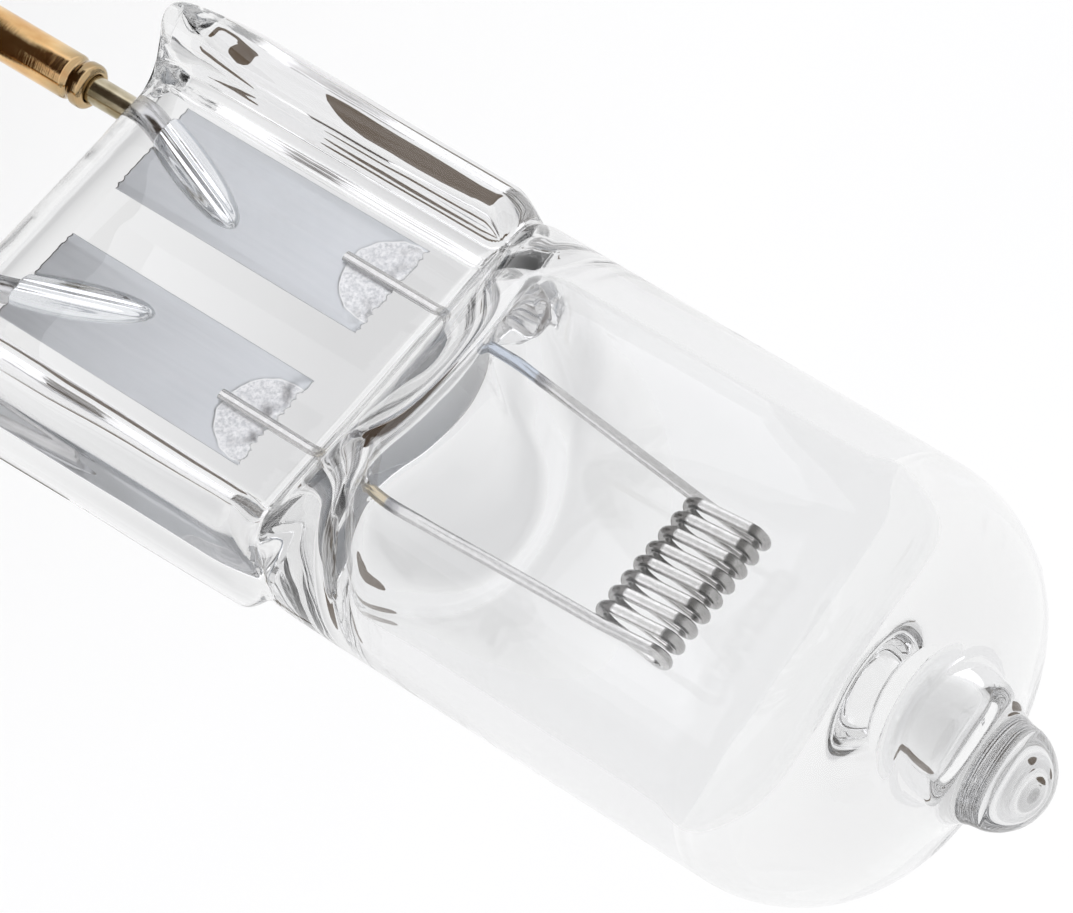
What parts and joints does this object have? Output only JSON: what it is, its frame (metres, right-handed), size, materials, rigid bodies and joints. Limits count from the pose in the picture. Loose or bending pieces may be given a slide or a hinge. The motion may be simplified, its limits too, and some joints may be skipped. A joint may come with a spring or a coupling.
{
  "type": "halogen capsule bulb",
  "caption": "Clear quartz halogen capsule bulb with a flat coiled filament, a ribbed pinch seal with foils, an exhaust tip and gold-coloured contact pins.",
  "frame": {"origin": "on the bulb's axis, midway between the free ends of the two contact pins", "axes": "+Z along the bulb's axis from the pin ends to the exhaust tip, X across the two pins, Y square to the flat of the pinch seal, with the pictured face towards -Y"},
  "size_m": [0.0124, 0.0116, 0.0404],
  "materials": {
    "clear_quartz": "clear fused quartz, fire polished",
    "tungsten_wire": "bright drawn tungsten",
    "molybdenum_foil": "satin blue-grey molybdenum foil",
    "lead_wire": "bright drawn molybdenum wire",
    "gilt_pin": "gold-coloured plated contact pin"
  },
  "bodies": {
    "root": {"glass_envelope": "clear_quartz", "filament": "tungsten_wire", "foil_left": "molybdenum_foil", "foil_right": "molybdenum_foil", "outer_lead_left": "lead_wire", "outer_lead_right": "lead_wire", "contact_pin_left": "gilt_pin", "contact_pin_right": "gilt_pin"}
  },
  "joints": []
}
